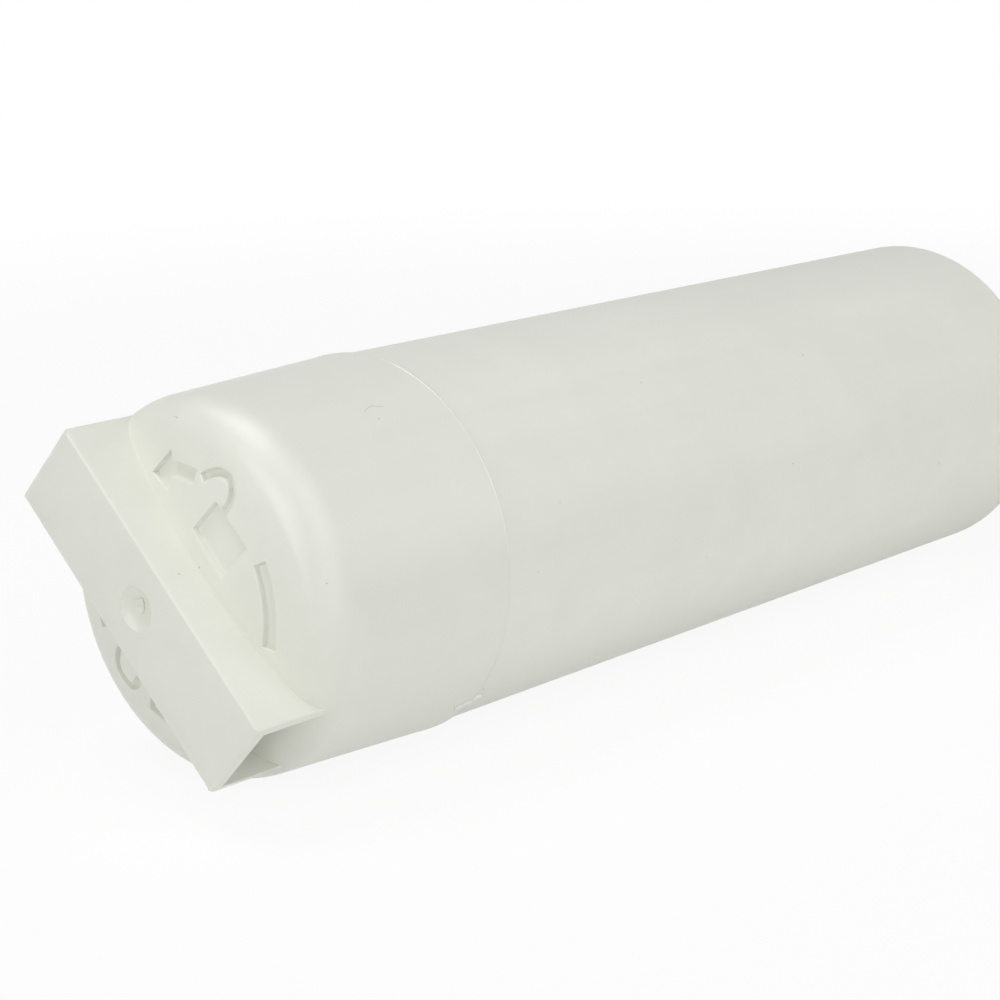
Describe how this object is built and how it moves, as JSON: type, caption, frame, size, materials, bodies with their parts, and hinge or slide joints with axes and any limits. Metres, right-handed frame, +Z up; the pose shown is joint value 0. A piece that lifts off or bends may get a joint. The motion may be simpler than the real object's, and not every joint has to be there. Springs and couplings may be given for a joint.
{
  "type": "fridge water filter cartridge",
  "caption": "Long round twist-in fridge water filter: plain white tube, welded tapering end cap with a hollow grip bar, stepped sealing neck with bayonet lugs, carbon block inside.",
  "frame": {"origin": "on the long axis, at the stop face of the neck's collar where the guide spigot starts", "axes": "+X along the long axis from the grip bar to the neck, +Z up as the cartridge lies in the picture, with the grip bar turned from the vertical"},
  "size_m": [0.2294, 0.0558, 0.0558],
  "materials": {
    "housing_plastic": "satin moulded white",
    "cap_plastic": "satin moulded white",
    "seal_rubber": "smooth black rubber",
    "pressed_carbon": "porous pressed carbon",
    "filter_fleece": "thin white fleece",
    "netting_plastic": "extruded white netting",
    "disc_plastic": "plain moulded white",
    "hot_melt": "set hot-melt glue"
  },
  "bodies": {
    "root": {"housing": "housing_plastic", "handle_cap": "cap_plastic", "inlet_o_ring": "seal_rubber", "outlet_o_ring": "seal_rubber", "spigot_o_ring": "seal_rubber", "carbon_block": "pressed_carbon", "prefilter_wrap": "filter_fleece", "netting_sleeve": "netting_plastic", "outlet_end_disc": "disc_plastic", "closed_end_disc": "disc_plastic", "outlet_glue_layer": "hot_melt", "closed_glue_layer": "hot_melt"}
  },
  "joints": []
}
